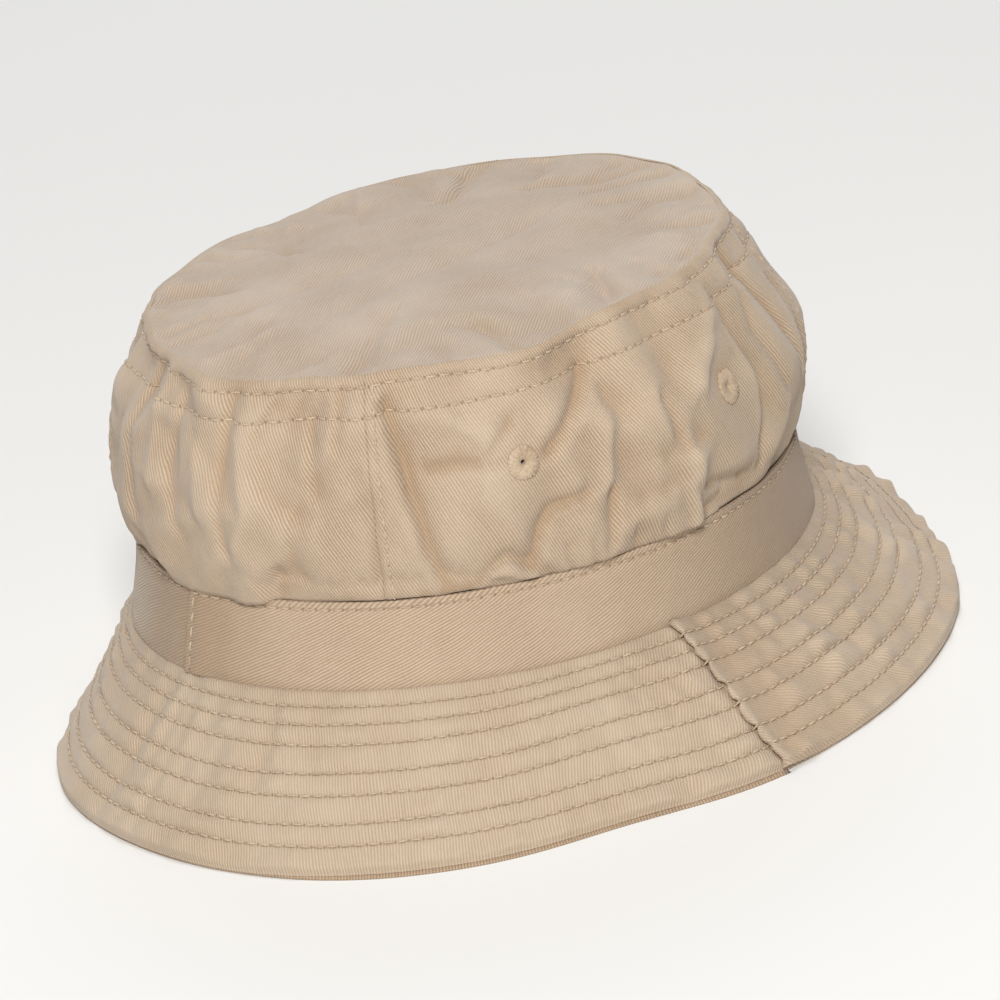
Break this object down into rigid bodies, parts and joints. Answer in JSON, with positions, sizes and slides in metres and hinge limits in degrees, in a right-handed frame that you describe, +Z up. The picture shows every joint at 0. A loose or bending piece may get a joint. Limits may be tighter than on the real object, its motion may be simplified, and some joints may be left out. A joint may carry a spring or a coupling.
{
  "type": "bucket hat",
  "caption": "Soft cotton bucket hat with an oval flat top, a panelled side crown with sewn eyelets, a plain hat band and a stitched sloping brim.",
  "frame": {"origin": "on the floor under the middle of the hat, at the bottom centre of its bounding box, with the hat standing on its brim edge", "axes": "+Z up, -Y towards the front of the hat, +X towards the wearer's left"},
  "size_m": [0.2496, 0.2816, 0.1188],
  "materials": {
    "twill": "washed cotton twill",
    "underside_twill": "washed cotton twill",
    "interlining": "plain woven cotton",
    "tape": "bias-cut twill tape",
    "sweatband_twill": "folded cotton twill",
    "thread": "twisted polyester thread",
    "label": "woven satin, blank"
  },
  "bodies": {
    "hat": {"side_crown_left": "twill", "side_crown_back": "twill", "side_crown_right": "twill", "side_crown_front": "twill", "hat_band": "twill", "upper_brim_back": "twill", "upper_brim_front": "twill", "under_brim_back": "underside_twill", "under_brim_front": "underside_twill", "brim_interlining": "interlining", "seam_tape_front_left": "tape", "seam_tape_back_left": "tape", "seam_tape_back_right": "tape", "seam_tape_front_right": "tape", "tip_seam_tape": "tape", "sweatband": "sweatband_twill", "brim_stitch_1": "thread", "brim_stitch_2": "thread", "brim_stitch_3": "thread", "brim_stitch_4": "thread", "brim_stitch_5": "thread", "brim_stitch_6": "thread", "brim_stitch_7": "thread", "band_top_stitch": "thread", "tip_topstitch": "thread", "tip_tape_stitch": "thread", "sweatband_stitch": "thread", "band_join_stitch": "thread", "seam_stitch_front_left": "thread", "seam_stitch_back_left": "thread", "seam_stitch_back_right": "thread", "seam_stitch_front_right": "thread", "eyelet_left_front": "thread", "eyelet_left_back": "thread", "eyelet_right_front": "thread", "eyelet_right_back": "thread", "brand_label": "label"},
    "tip": {"crown_tip": "twill"},
    "care_label": {"care_label": "label"},
    "size_label": {"size_label": "label"}
  },
  "joints": [
    {"name": "crown_crush", "type": "slide", "parent": "hat", "child": "tip", "axis": [-0.0454, -0.0002, -0.999], "range_m": [0, 0.038]},
    {"name": "care_label_flap", "type": "hinge", "parent": "hat", "child": "care_label", "pos_m": [0, 0.09984, 0.0327], "axis": [-1, 0, 0], "range_deg": [-20, 150]},
    {"name": "size_label_flap", "type": "hinge", "parent": "hat", "child": "size_label", "pos_m": [0.0285, 0.09136, 0.03172], "axis": [-1, 0, 0], "range_deg": [-20, 150]}
  ]
}
